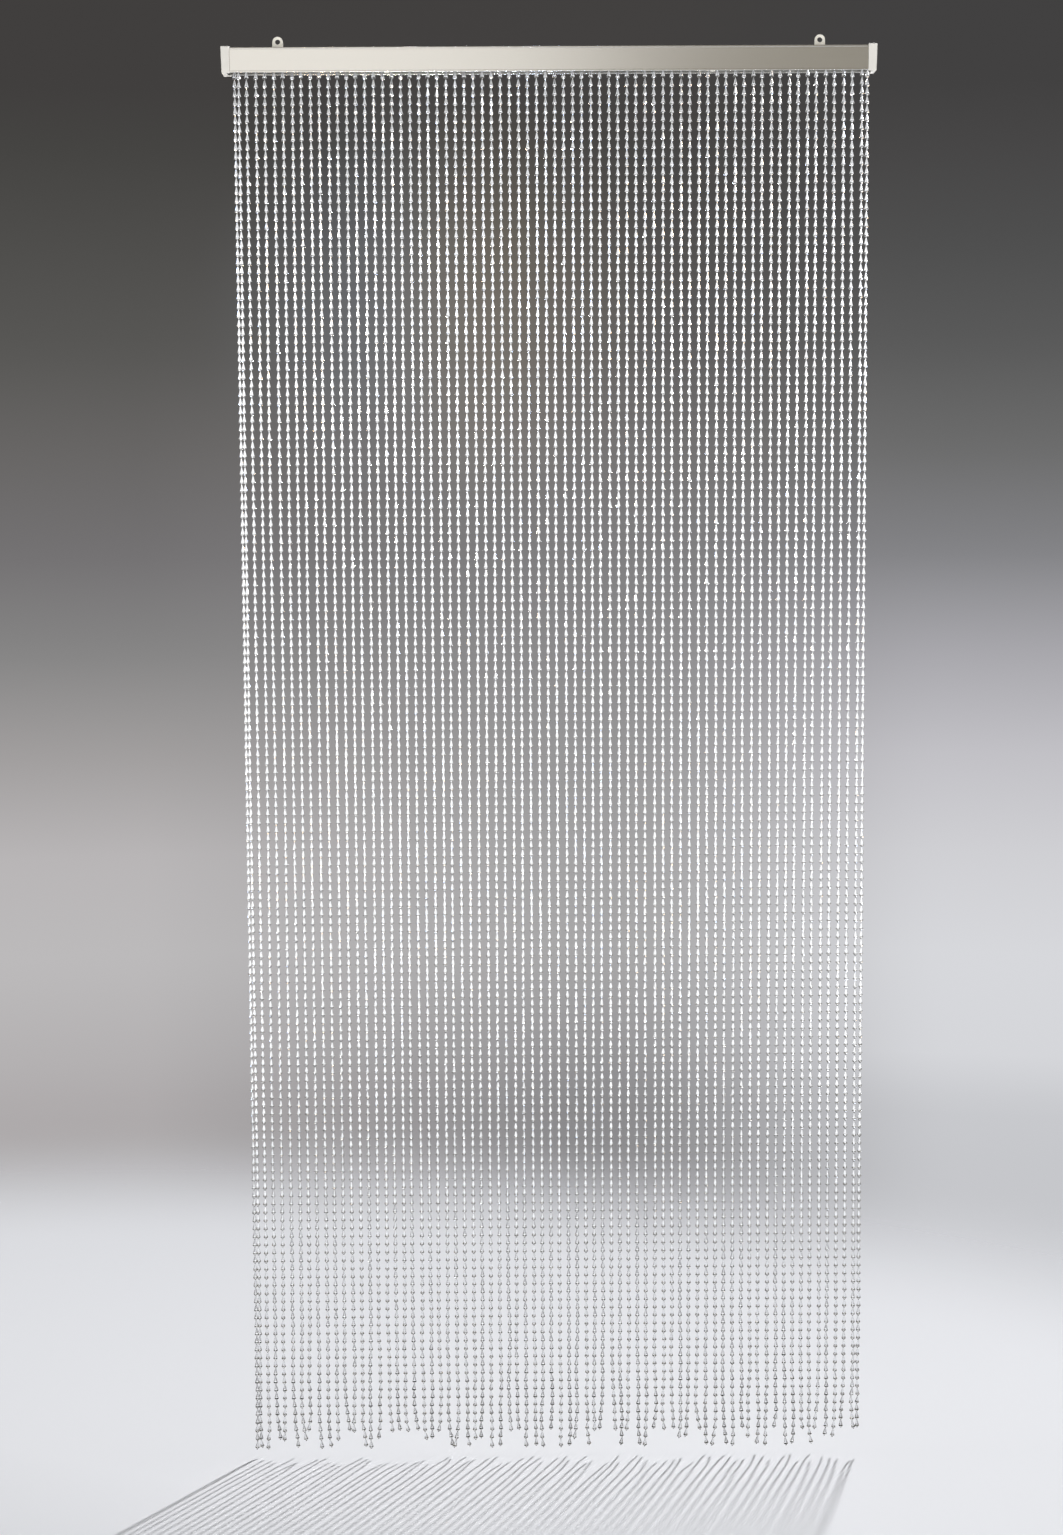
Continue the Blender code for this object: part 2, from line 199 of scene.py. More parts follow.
# %% [markdown]
# ## Steel, drawn and plated
# The rod that carries the strings is drawn steel wire with a bright zinc coat, and the rivets are nickel plated. Both
# have soft marks along the way that they were drawn, here 1 mm apart. Plain chrome would mirror too sharply, so the
# marks make the sheen uneven.

# %% Plated steel
def plated_steel(name, colour, roughness, along):
    material, tree, shader = start_material(name, Metallic=1.0)
    spacing = 1.0 * mm
    scale = [1 / spacing] * 3
    scale["XYZ".index(along)] = 1 / (40 * spacing)
    where = add_node(tree, "ShaderNodeTexCoord", {}).outputs["Object"]
    stretched = add_node(tree, "ShaderNodeMapping", {"Vector": where, "Scale": scale}).outputs["Vector"]
    marks = add_node(tree, "ShaderNodeTexNoise", {"Vector": stretched, "Scale": 1.0, "Detail": 2.0}).outputs["Fac"]
    sheen = add_node(tree, "ShaderNodeMapRange", {
        "Value": marks, "To Min": roughness - 0.06, "To Max": roughness + 0.08}).outputs["Result"]
    shader.inputs["Base Color"].default_value = linear(colour)
    tree.links.new(sheen, shader.inputs["Roughness"])
    return material


# %% [markdown]
# ## Acrylic, moulded clear
# The beads are clear acrylic, PMMA, with an index of 1.49: it bends light less than glass and has no tint. They are
# moulded in polished steel, so their facets are smooth, with a faint ripple where the melt flowed and shrank, about
# 2 mm across. The ripple keeps neighbouring beads from showing the same glint. Plain transparency would render faster,
# but only light that really bends gives each facet its bright or dark tone.

# %% Clear acrylic
def clear_acrylic():
    material, tree, shader = start_material(
        "clear_acrylic", Base_Color=linear("#FCFDFF"), Transmission_Weight=1.0, IOR=1.49, Roughness=0.02)
    where = add_node(tree, "ShaderNodeTexCoord", {}).outputs["Object"]
    ripple = add_node(tree, "ShaderNodeTexNoise", {
        "Vector": where, "Scale": 1 / (2 * mm), "Detail": 1.0}).outputs["Fac"]
    relief = add_node(tree, "ShaderNodeBump", {
        "Height": ripple, "Strength": 0.20, "Distance": 0.10 * mm}).outputs["Normal"]
    tree.links.new(relief, shader.inputs["Normal"])
    return material


# %% [markdown]
# The thread is nylon monofilament. It is clear too, but milky, since drawing it makes it slightly crystalline. A mix
# of light let through and light scattered back gives that look, which neither glass nor white paint has.

# %% Nylon thread
def nylon_thread():
    material, tree, shader = start_material(
        "nylon_thread", Transmission_Weight=0.6, IOR=1.53, Roughness=0.25)
    where = add_node(tree, "ShaderNodeTexCoord", {}).outputs["Object"]
    haze = add_node(tree, "ShaderNodeTexNoise", {"Vector": where, "Scale": 1 / (3 * mm)}).outputs["Fac"]
    tint = add_node(tree, "ShaderNodeMix", {
        "Factor": haze, "A": linear("#E4E4E0"), "B": linear("#F6F6F4")}, data_type="RGBA").outputs["Result"]
    tree.links.new(tint, shader.inputs["Base Color"])
    return material


# %% [markdown]
# ## Dressing the solids
# The rail, caps, eyelets, rod, clips and rivets could be modelled anew here, but their solids already have the real
# shape, so they keep it and get their finish.
# A real edge is never perfectly sharp: a small bevel on each gives the thin bright lines that make it look solid. The
# solids come with every face apart, so a weld joins them first. Smooth shading alone would then bend the light over
# the flat faces too. Weighted normals let the largest faces decide, so flats stay flat and only the bevels turn.

# %% Finish for each solid
weld_distance = 0.005 * mm
bevel_steps = 2
sharpest_smooth_angle = math.radians(40)
largest_faces_decide = 100


def dress(node, material, edge_radius):
    """Gives one solid of the frame its material and its rounded edges."""
    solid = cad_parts[node]
    solid.data.materials.clear()
    solid.data.materials.append(material)
    weld = solid.modifiers.new("weld", "WELD")
    weld.merge_threshold = weld_distance
    edges = solid.modifiers.new("edges", "BEVEL")
    edges.width = edge_radius
    edges.segments = bevel_steps
    edges.limit_method = "ANGLE"
    edges.angle_limit = sharpest_smooth_angle
    solid.data.shade_smooth()
    solid.modifiers.new("flat_faces", "WEIGHTED_NORMAL").weight = largest_faces_decide


rail_finish = anodised_aluminium()
cap_finish = moulded_plastic("pale_grey_plastic", "#E2DFD8", "#D8D5CE")
eyelet_finish = moulded_plastic("cream_plastic", "#FAF6EB", "#F2EEE2")
clip_finish = moulded_plastic("natural_nylon", "#E6E3DA", "#DAD7CE")
rod_finish = plated_steel("zinc_plated_steel", "#C2C2BE", 0.30, "X")
rivet_finish = plated_steel("nickel_plated_steel", "#C9C2B4", 0.22, "Y")

dress("header_rail", rail_finish, 0.20 * mm)
for side in ("left", "right"):
    dress(f"end_cap_{side}", cap_finish, 0.25 * mm)
    dress(f"hanging_eyelet_{side}", eyelet_finish, 0.35 * mm)
    dress(f"eyelet_rivet_{side}", rivet_finish, 0.10 * mm)
dress("carrier_rod", rod_finish, 0.20 * mm)
clips = [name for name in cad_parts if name.startswith("rod_saddle")]
for name in clips:
    dress(name, clip_finish, 0.15 * mm)
print("finished the rail, its caps and eyelets, the rod and", len(clips), "clips")

# %% [markdown]
# ## The shape of a bead
# Each bead is a drop of 12 mm with eight facets round it. From a thin neck it widens in a straight line to its girdle,
# three quarters of the way down. Its underside closes in quickly, and a short neck that narrows like an upturned cone
# leads to the next bead. The rows from the girdle down are turned by half a facet, which gives the triangular facets
# that throw the glints. Such a drop could be a profile turned round and smoothed. Rings with few corners keep every
# facet flat, as the mould does, and keep over eleven thousand beads light. A bead is written as rings: how far down it
# each ring lies, its radius, and by how much of a facet it is turned.

# %% Bead rings
bead_length = 12.0 * mm
girdle_radius = 3.2 * mm
neck_radius = 0.8 * mm
thread_radius = 0.5 * mm
facets = 8
half_facet = 0.5
shoulder_share = 0.60
girdle_share = 0.76
underside_share = 0.865
underside_radius = neck_radius * 1.7
cone_slope = (girdle_radius - neck_radius) / girdle_share
shoulder_radius = neck_radius + cone_slope * shoulder_share
bead_rings = [
    (0.01, neck_radius, 0.0),
    (shoulder_share, shoulder_radius, 0.0),
    (girdle_share, girdle_radius, half_facet),
    (underside_share, underside_radius, half_facet),
    (0.99, neck_radius, half_facet),
]
print(len(bead_rings), "rings in a bead, the cone opens by",
      round(math.degrees(math.atan(cone_slope / bead_length)), 1), "degrees on each side")

# %% [markdown]
# ## How a string hangs
# The beads are moulded on their thread, so a string is a chain of stiff drops with a bend only at each neck. It hangs
# almost straight under its own weight. One string of a pair leaves the rod in front and the other behind, and both
# settle towards the same plane on their way down, until the last beads part again. There is little weight below
# these, so the thread's curl pushes them about. A simulation of all the chains could find this. The bends are so small
# that a formula with a little chance does as well, and it gives the same curtain on every run. It finds a place for
# every neck, with small bends at first and larger ones over the last beads, and each bead stays exactly 12 mm long
# between its two necks.

# %% Necks of one string
loose_beads = 24
freed_beads = 8
hooked_beads = 4
furthest_wander = 1.2


def end_share(n, bead_count, last_beads):
    """0 until the last few beads, and then up to 1 at the string's end."""
    return max(0.0, (n - bead_count + last_beads) / last_beads)


def neck_points(top, bead_count, room, chance):
    """The necks of a string from its top down. room is how far it may wander sideways."""
    slow = [chance.uniform(-0.35, 0.35) * mm for _ in range(3)]
    phases = [chance.uniform(0, 2 * math.pi) for _ in range(5)]
    sway = min(chance.uniform(0.8, 3.2) * mm, 0.6 * room)
    shiver = min(chance.uniform(0.4, 1.2) * mm, 0.25 * room)
    hook = chance.choice((-1, 1)) * chance.uniform(0.1, 1.1) * room
    points = [top]
    for n in range(1, bead_count + 1):
        share = n / bead_count
        loose = end_share(n, bead_count, loose_beads)
        hooked = end_share(n, bead_count, hooked_beads)
        across = sum(a * math.sin(math.pi * (k + 1) * share + phases[k]) - a * math.sin(phases[k])
                     for k, a in enumerate(slow))
        across += sway * loose ** 1.4 * math.sin(phases[3] + 4.0 * loose)
        across += shiver * loose * math.sin(phases[4] + 13.0 * loose) + hook * hooked ** 2
        across += chance.gauss(0, 0.05 + 0.45 * loose) * mm
        across = max(-furthest_wander * room, min(furthest_wander * room, across))
        deep = chance.gauss(0, 0.04 + 0.10 * loose) * mm
        before = points[-1]
        x_step = top.x + across - before.x
        settled = (rail_middle - top.y) * share * (1 - end_share(n, bead_count, freed_beads) ** 2)
        y_step = top.y + settled + deep - before.y
        drop = math.sqrt(max(bead_length ** 2 - x_step ** 2 - y_step ** 2, 0.0))
        points.append(Vector((before.x + x_step, before.y + y_step, before.z - drop)))
    return points


# %% [markdown]
# ## One string as one mesh
# The string is built as a stack of rings along its path: the thread from the top of the rod, round its side and down,
# then the rings of every bead. Faces join each ring to the next. Between rings that line up they are flat four-sided
# facets, and between rings turned by half a facet they are triangles. Each bead could be an object of its own, set
# along a curve, but where two clear objects meet, light bends at walls that the real string doesn't have. So the
# result is one closed surface.

# %% Rings into a mesh
def ring_corners(centre, axis, radius, turn):
    """The corners of one ring, square to the path."""
    side = Vector((1, 0, 0))
    side = (side - axis * side.dot(axis)).normalized()
    other = axis.cross(side)
    angles = [2 * math.pi * (k + turn) / facets for k in range(facets)]
    return [centre + radius * (math.cos(a) * side + math.sin(a) * other) for a in angles]


def faces_between(start, turned, after_turned):
    """Faces from the ring whose first corner is start to the next one."""
    made = []
    for k in range(facets):
        m = (k + 1) % facets
        a, b = start + k, start + m
        c, d = a + facets, b + facets
        if turned == after_turned:
            made.append((a, b, d, c))
        elif after_turned:
            made += [(a, b, c), (c, b, d)]
        else:
            made += [(a, d, c), (a, b, d)]
    return made


def mesh_from_rings(name, rings):
    """A closed mesh. Each ring is its centre, axis, radius, turn in facets, and over 0 where it is a turned one."""
    corners = []
    for centre, axis, radius, turn, _ in rings:
        corners += ring_corners(centre, axis, radius, turn)
    faces = [tuple(reversed(range(facets)))]
    for n in range(len(rings) - 1):
        faces += faces_between(n * facets, rings[n][4] > 0, rings[n + 1][4] > 0)
    last = (len(rings) - 1) * facets
    faces.append(tuple(range(last, last + facets)))
    mesh = bpy.data.meshes.new(name)
    mesh.from_pydata(corners, [], faces)
    return mesh


# %% [markdown]
# The mould isn't set square for every bead and the thread twists a little, so each bead is turned a few degrees from
# the one above. That keeps the glints from lining up.

# %% Mesh of one string
def string_mesh(name, thread, necks, chance):
    """A string's mesh from its thread's points and its necks, and where the beads' faces start."""
    first_turn = chance.uniform(0, 1)
    twist = chance.uniform(-1.0, 1.0) / len(necks)
    rings = []
    for n, point in enumerate(thread):
        axis = (thread[min(n + 1, len(thread) - 1)] - thread[max(n - 1, 0)]).normalized()
        rings.append((point, axis, thread_radius, first_turn, 0.0))
    thread_rings = len(rings)
    for n, (top, end) in enumerate(zip(necks, necks[1:])):
        axis = (end - top).normalized()
        turn = first_turn + n * twist + chance.gauss(0, 0.10)
        for share, radius, half in bead_rings:
            rings.append((top.lerp(end, share), axis, radius, turn + half, half))
    return mesh_from_rings(name, rings), 1 + (thread_rings - 1) * facets


# %% [markdown]
# ## The pairs of the frame
# One thread, folded over the rod, makes a pair of strings: the left one comes down in front of the rod and the right
# one behind it. The solids of the frame say where each pair hangs and how many beads each string has, so both are read
# from them.

# %% Read the pairs from the frame
rod_low, rod_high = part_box("carrier_rod")
rod_height = (rod_low.z + rod_high.z) / 2
pair_names = sorted(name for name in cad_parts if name.startswith("string_pair"))


def read_pair(name):
    """For both strings of a pair: where it hangs, and its lowest point."""
    low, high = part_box(name)
    middle = (low.x + high.x) / 2
    corners = [v.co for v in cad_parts[name].data.vertices]
    places = (low.x + girdle_radius, high.x - girdle_radius)
    ends = [min(c.z for c in corners if (c.x - middle) * side > 0) for side in (-1, 1)]
    return list(zip(places, ends))


strings = [(name, side, *found) for name in pair_names for side, found in zip((-1, 1), read_pair(name))]
gaps = [b[2] - a[2] for a, b in zip(strings, strings[1:])]
print(len(strings), "strings,", round(min(gaps) / mm, 2), "to", round(max(gaps) / mm, 2), "mm apart")

# %% [markdown]
# The thread leaves the top of the rod, follows its side and then drops. Its path is a quarter circle that also moves
# along the rod, because the two strings of a pair hang apart. It could be a curve with a round section. Rings like
# those of the beads let it run into the first bead with no seam.

# %% Thread over the rod
loop_radius = 3.03 * mm
first_bead_top = rail_low.z + 2.2 * mm
loop_steps = 6


def thread_points(middle, x, side):
    """From the top of the rod to the first bead's neck."""
    points = []
    for n in range(loop_steps + 1):
        share = n / loop_steps
        angle = share * math.pi / 2
        across = middle + (x - middle) * share * (2 - share)
        points.append(Vector((across, rail_middle + side * loop_radius * math.sin(angle),
                              rod_height + loop_radius * math.cos(angle))))
    points.append(Vector((x, rail_middle + side * loop_radius, first_bead_top + 0.4 * mm)))
    return points


# %% [markdown]
# The thread runs on inside the beads. Nylon bends light nearly as acrylic does, so nothing of it is seen in there, but
# it stops more of the light than they do and draws each string's thin line of shadow on the floor. It is a piece of
# its own, hidden from the camera and from bent rays. It is drawn 0.73 mm in radius and not 0.5 mm, because the beads'
# necks and edges, close round the thread, darken that line too.

# %% Thread inside the beads
inner_thread_radius = 0.73 * mm
acrylic = clear_acrylic()
thread_finish = nylon_thread()


def inner_thread(name, necks):
    """The thread inside the beads, from within the first one to within the last."""
    points = [necks[0].lerp(necks[1], 0.03), *necks[1:-1], necks[-2].lerp(necks[-1], 0.97)]
    axes = [(b - a).normalized() for a, b in zip(points, points[1:])]
    rings = [(point, axes[min(n, len(axes) - 1)], inner_thread_radius, 0.0, 0.0) for n, point in enumerate(points)]
    inner = bpy.data.objects.new(name, mesh_from_rings(name, rings))
    inner.data.materials.append(thread_finish)
    inner.visible_camera = False
    inner.visible_glossy = False
    inner.visible_transmission = False
    return inner


# %% [markdown]
# ## Every string of the curtain
# The thread at the top of a string is nylon and the rest is acrylic. Neighbours must not run into each other, so the
# room that a string may wander in comes from the gaps beside it. A string swings with its pair, and so does the thread
# inside it. Rays from matt surfaces pass the strings by, since through so much clear acrylic they would bring only
# noise.

# %% Build the strings
chance = random.Random(5)
widest_room = 4.5 * mm
bead_clearance = 2.4 * mm
opaque_pieces = bpy.data.collections.new("opaque_pieces")
for number, (pair, side, x, end) in enumerate(strings, start=1):
    middle = (strings[number - 1 - (side > 0)][2] + strings[number - (side > 0)][2]) / 2
    neighbours = gaps[max(number - 2, 0):number]
    room = min(widest_room, (min(neighbours) - bead_clearance) / 2)
    bead_count = round((first_bead_top - end) / bead_length)
    top = Vector((x, rail_middle + side * loop_radius, first_bead_top))
    necks = neck_points(top, bead_count, room, chance)
    thread = thread_points(middle, x, side)
    mesh, first_bead_face = string_mesh(f"string_{number:02d}", thread, necks, chance)
    mesh.materials.append(acrylic)
    mesh.materials.append(thread_finish)
    kinds = np.zeros(len(mesh.polygons), np.int32)
    kinds[:first_bead_face] = 1
    mesh.polygons.foreach_set("material_index", kinds)
    string = bpy.data.objects.new(mesh.name, mesh)
    bpy.context.scene.collection.objects.link(string)
    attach(string, pair)
    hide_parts(pair)
    string.visible_diffuse = False
    inner = inner_thread(f"inner_thread_{number:02d}", necks)
    bpy.context.scene.collection.objects.link(inner)
    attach(inner, pair)
    opaque_pieces.objects.link(inner)

# %% [markdown]
# ## Floor
# The curtain hangs just above a pale matt studio floor, close enough for the strings to draw their shadows on it. The
# floor has no gloss, so no lamp shows in it. A studio floor curves up into a sweep. That could be modelled, but it
# would stand in the way of a look from behind, so the floor fades out along a wide circle and shows no edge.
# The hard lamp stands behind the curtain at the right, and the floor there would be the brightest: a tint that is
# deeper on that side evens it out.

# %% Floor
floor_below_ends = 12.0 * mm
floor_size = 7.0
fade_centre = (-0.73, -0.87, 0.0)
fade_starts, fade_ends = 1.95, 2.85
lamp_side = (0.9, 3.2, 0.0)
tint_starts, tint_ends = 1.6, 3.6


def studio_floor():
    material, tree, shader = start_material("matt_white_floor", Roughness=0.9, Specular_IOR_Level=0.0)
    where = add_node(tree, "ShaderNodeTexCoord", {}).outputs["Object"]
    away = add_node(tree, "ShaderNodeVectorMath", {0: where, 1: fade_centre}, operation="DISTANCE").outputs["Value"]
    fade = add_node(tree, "ShaderNodeMapRange", {
        "Value": away, "From Min": fade_starts, "From Max": fade_ends},
        interpolation_type="SMOOTHSTEP").outputs["Result"]
    from_lamp = add_node(tree, "ShaderNodeVectorMath", {0: where, 1: lamp_side}, operation="DISTANCE").outputs["Value"]
    evening = add_node(tree, "ShaderNodeMapRange", {
        "Value": from_lamp, "From Min": tint_starts, "From Max": tint_ends}).outputs["Result"]
    tint = add_node(tree, "ShaderNodeMix", {
        "Factor": evening, "A": linear("#97989C"), "B": linear("#ECEDF1")}, data_type="RGBA").outputs["Result"]
    tree.links.new(tint, shader.inputs["Base Color"])
    gone = add_node(tree, "ShaderNodeBsdfTransparent", {})
    blend = add_node(tree, "ShaderNodeMixShader", {0: fade, 1: shader.outputs[0], 2: gone.outputs[0]})
    tree.links.new(blend.outputs[0], tree.nodes["Material Output"].inputs["Surface"])
    return material


def floor_mesh():
    half = floor_size / 2
    mesh = bpy.data.meshes.new("floor")
    mesh.from_pydata([(-half, -half, 0), (half, -half, 0), (half, half, 0), (-half, half, 0)], [], [(0, 1, 2, 3)])
    mesh.materials.append(studio_floor())
    return mesh


floor = bpy.data.objects.new("floor", floor_mesh())
floor.location = (0, 0, cad_box[0].z - floor_below_ends)
floor.visible_transmission = False
bpy.context.scene.collection.objects.link(floor)
print("the floor lies at", round(floor.location.z, 4))

# %% [markdown]
# ## Backdrop
# The backdrop goes from dark grey above to pale at the floor, and not in the same way at the left, in the middle and
# at the right. It could be a painted wall. The world draws it by the direction that a ray looks in instead, so it has
# no edge, takes no shadow and stands behind the curtain from every side. Each row below is a height, in degrees up
# from level, and the tone there in three columns from left to right. One function turns the rows of a column into a
# colour ramp.

# %% Backdrop tones
backdrop_heights = [
    (-90.0, "#B0ADAE", "#8C8B8D", "#C2C2C6"),
    (-14.5, "#AFACAD", "#8C8B8D", "#C6C7CB"),
    (-13.4, "#AEAAAB", "#8B8A8C", "#C8C9CD"),
    (-12.2, "#B4B1B2", "#979698", "#D5D6DA"),
    (-10.0, "#BCBABB", "#A8A7A8", "#D7D8DC"),
    (-7.7, "#B9B6B7", "#A3A2A3", "#D0D0D4"),
    (-5.4, "#A29F9F", "#979697", "#C2C1C6"),
    (-3.0, "#868585", "#8B8A8B", "#A7A6AB"),
    (-0.8, "#747273", "#7F7E7F", "#838386"),
    (1.5, "#686665", "#757373", "#6C6C6C"),
    (3.8, "#585755", "#605E5E", "#5A5A5A"),
    (6.0, "#4F4E4C", "#535150", "#4F4F4F"),
    (8.2, "#454442", "#474544", "#474646"),
    (9.5, "#413F3E", "#434140", "#424141"),
    (90.0, "#3A3938", "#3A3938", "#3A3938"),
]


def height_ramp(tree, height, heights, column=1):
    """A colour ramp from rows of heights. height is 0 straight down and 1 straight up."""
    ramp = add_node(tree, "ShaderNodeValToRGB", {"Fac": height})
    stops = ramp.color_ramp.elements
    while len(stops) > 1:
        stops.remove(stops[-1])
    for n, row in enumerate(heights):
        position = (math.sin(math.radians(row[0])) + 1) / 2
        stop = stops[0] if n == 0 else stops.new(position)
        stop.position = position
        stop.color = linear(row[column])
    return ramp.outputs["Color"]


# %% [markdown]
# The columns blend into each other from side to side. Behind the upper part of the curtain a faint glow is painted
# into the backdrop, cool at its left and warm at its right, as if from the lamps that make the beads glint.

# %% What the camera sees
column_blends = ((2, -0.147, 0.018, "LINEAR"), (3, 0.034, 0.174, "SMOOTHSTEP"))
glow_towards = (-0.107, 3.5, 0.285)
glow_radius = 0.10
glow_strength = 0.085
glow_turns_warm = (-0.061, -0.011)


def backdrop(tree, direction, parts, height):
    """The backdrop's tones with the painted glow on them."""
    from_glow = add_node(tree, "ShaderNodeVectorMath", {
        0: direction, 1: Vector(glow_towards).normalized()}, operation="DISTANCE").outputs["Value"]
    glow = add_node(tree, "ShaderNodeMapRange", {
        "Value": from_glow, "From Min": 0.0, "From Max": glow_radius, "To Min": glow_strength, "To Max": 0.0},
        interpolation_type="SMOOTHSTEP").outputs["Result"]
    tones = height_ramp(tree, height, backdrop_heights, 1)
    for column, x_from, x_to, kind in column_blends:
        share = add_node(tree, "ShaderNodeMapRange", {
            "Value": parts.outputs["X"], "From Min": x_from, "From Max": x_to}, interpolation_type=kind)
        tones = add_node(tree, "ShaderNodeMix", {
            "Factor": share.outputs["Result"], "A": tones, "B": height_ramp(tree, height, backdrop_heights, column)},
            data_type="RGBA").outputs["Result"]
    warmer = add_node(tree, "ShaderNodeMapRange", {
        "Value": parts.outputs["X"], "From Min": glow_turns_warm[0], "From Max": glow_turns_warm[1]})
    glow_colour = add_node(tree, "ShaderNodeMix", {
        "Factor": warmer.outputs["Result"], "A": linear("#E2EDFF"), "B": linear("#FFECC8")},
        data_type="RGBA").outputs["Result"]
    brighter = add_node(tree, "ShaderNodeMix", {
        "Factor": glow, "A": tones, "B": glow_colour}, data_type="RGBA").outputs["Result"]
    return add_node(tree, "ShaderNodeBackground", {"Color": brighter})


# %% [markdown]
# ## What the beads show
# Clear beads have no colour of their own. They bend what is round them, so they look as bright as the white cards that
# a photographer stands behind and beside them, out of the picture. A dark gap between the cards gives every facet
# either a bright or a dark side, which is what makes its edges show. So rays that were bent or mirrored meet rows of
# their own: the floor with the shadows on it, a white card, the dark gap, and a second card above. Beside the curtain
# there is no second card, and in front there is the even warm grey of the room. The cards could be planes in the
# scene, but then they would show from behind and shade the floor. They are a little brighter than white, because the
# surfaces of a bead mirror part of their light away.

# %% Cards and room
floor_heights = [
    (-90.0, "#9A9B9D"),
    (-49.0, "#9A9B9D"),
    (-45.5, "#747474"),
    (-44.5, "#707070"),
    (-42.5, "#CACBCE"),
]
behind_beads_heights = floor_heights + [
    (-34.0, "#CFD0D3"),
    (-32.3, "#FFFFFF"),
    (-10.5, "#FFFFFF"),
    (-8.0, "#DEDEDE"),
    (-5.5, "#B0B0B0"),
    (-4.0, "#202020"),
    (12.0, "#202020"),
    (14.0, "#F0F0F0"),
    (42.0, "#F0F0F0"),
    (48.0, "#404040"),
    (90.0, "#3A3938"),
]
beside_beads_heights = floor_heights + [
    (-34.0, "#CFD0D3"),
    (-32.3, "#FFFFFF"),
    (-11.0, "#FFFFFF"),
    (-8.0, "#D6D6D6"),
    (-5.0, "#808080"),
    (-3.0, "#303030"),
    (48.0, "#303030"),
    (90.0, "#3A3938"),
]
before_beads_heights = floor_heights + [
    (-30.0, "#CACBCE"),
    (-20.0, "#979185"),
    (90.0, "#979185"),
]
cards_strength = 1.25
beside_starts, beside_ends = 0.22, 0.32
room_starts, room_ends = 0.1, -0.3


def cards_and_room(tree, parts, height):
    """What rays meet that a bead or the rail has bent or mirrored."""
    behind = add_node(tree, "ShaderNodeBackground", {
        "Color": height_ramp(tree, height, behind_beads_heights), "Strength": cards_strength})
    beside = add_node(tree, "ShaderNodeBackground", {
        "Color": height_ramp(tree, height, beside_beads_heights), "Strength": cards_strength})
    sideways = add_node(tree, "ShaderNodeMath", {0: parts.outputs["X"]}, operation="ABSOLUTE").outputs[0]
    is_beside = add_node(tree, "ShaderNodeMapRange", {
        "Value": sideways, "From Min": beside_starts, "From Max": beside_ends}).outputs["Result"]
    rear = add_node(tree, "ShaderNodeMixShader", {0: is_beside, 1: behind.outputs[0], 2: beside.outputs[0]})
    room = add_node(tree, "ShaderNodeBackground", {"Color": height_ramp(tree, height, before_beads_heights)})
    is_front = add_node(tree, "ShaderNodeMapRange", {
        "Value": parts.outputs["Y"], "From Min": room_starts, "From Max": room_ends}).outputs["Result"]
    return add_node(tree, "ShaderNodeMixShader", {0: is_front, 1: rear.outputs[0], 2: room.outputs[0]})


# %% [markdown]
# Matt surfaces gather light from all round. Here it comes softly from the front and below the curtain, as it does off
# a pale floor, and only a little from elsewhere, which keeps the shadows on the floor from going black. The world then
# tells the three kinds of ray apart and gives each its own surroundings.

# %% World
front_light = 2.8
other_light = 0.10
front_towards = (0.0, -0.6, -0.8)
front_starts, front_ends = 0.25, 0.7


def even_light(tree, direction):
    """The light that matt surfaces gather."""
    from_front = add_node(tree, "ShaderNodeVectorMath", {
        0: direction, 1: front_towards}, operation="DOT_PRODUCT").outputs["Value"]
    softness = add_node(tree, "ShaderNodeMapRange", {
        "Value": from_front, "From Min": front_starts, "From Max": front_ends,
        "To Min": other_light, "To Max": front_light}).outputs["Result"]
    return add_node(tree, "ShaderNodeBackground", {"Color": linear("#FFFFFF"), "Strength": softness})


def make_world():
    world = bpy.data.worlds.new("studio")
    world.use_nodes = True
    bpy.context.scene.world = world
    tree = world.node_tree
    tree.nodes.clear()
    direction = add_node(tree, "ShaderNodeTexCoord", {}).outputs["Generated"]
    parts = add_node(tree, "ShaderNodeSeparateXYZ", {"Vector": direction})
    height = add_node(tree, "ShaderNodeMapRange", {
        "Value": parts.outputs["Z"], "From Min": -1.0, "From Max": 1.0}).outputs["Result"]
    seen = backdrop(tree, direction, parts, height)
    bent = cards_and_room(tree, parts, height)
    even = even_light(tree, direction)
    path = add_node(tree, "ShaderNodeLightPath", {})
    is_bent = add_node(tree, "ShaderNodeMath", {
        0: path.outputs["Is Glossy Ray"], 1: path.outputs["Is Transmission Ray"]}, operation="MAXIMUM").outputs[0]
    indirect = add_node(tree, "ShaderNodeMixShader", {0: is_bent, 1: even.outputs[0], 2: bent.outputs[0]})
    shown = add_node(tree, "ShaderNodeMixShader", {
        0: path.outputs["Is Camera Ray"], 1: indirect.outputs[0], 2: seen.outputs[0]})
    add_node(tree, "ShaderNodeOutputWorld", {"Surface": shown.outputs[0]})
    return tree


print("the world is drawn by", len(make_world().nodes), "nodes")

# %% [markdown]
# ## Lamps
# A wide soft box at the front left is what the rail mirrors over most of its length. It lights nothing that is matt.
# A small hard lamp behind the curtain, at the right, lights the floor and draws the strings' shadows on it. Real clear
# beads let most of its light pass, but a renderer that looks for shadows takes them for solid. To follow the light
# through every bead would take far too long. So two lamps stand in that one place. The beads block the weaker one.
# Only the opaque pieces block the other, which are the thread inside the beads, the rail and all that belongs to it.
# A string's shadow is then a pale band with a thin dark line in it.

# %% Soft box and hard lamp
hard_lamp_place = (1.35, 3.00, 1.46)
hard_lamp_towards = (-0.45, 0.0, -2.0)
hard_lamp_width, hard_lamp_height = 0.06, 0.90


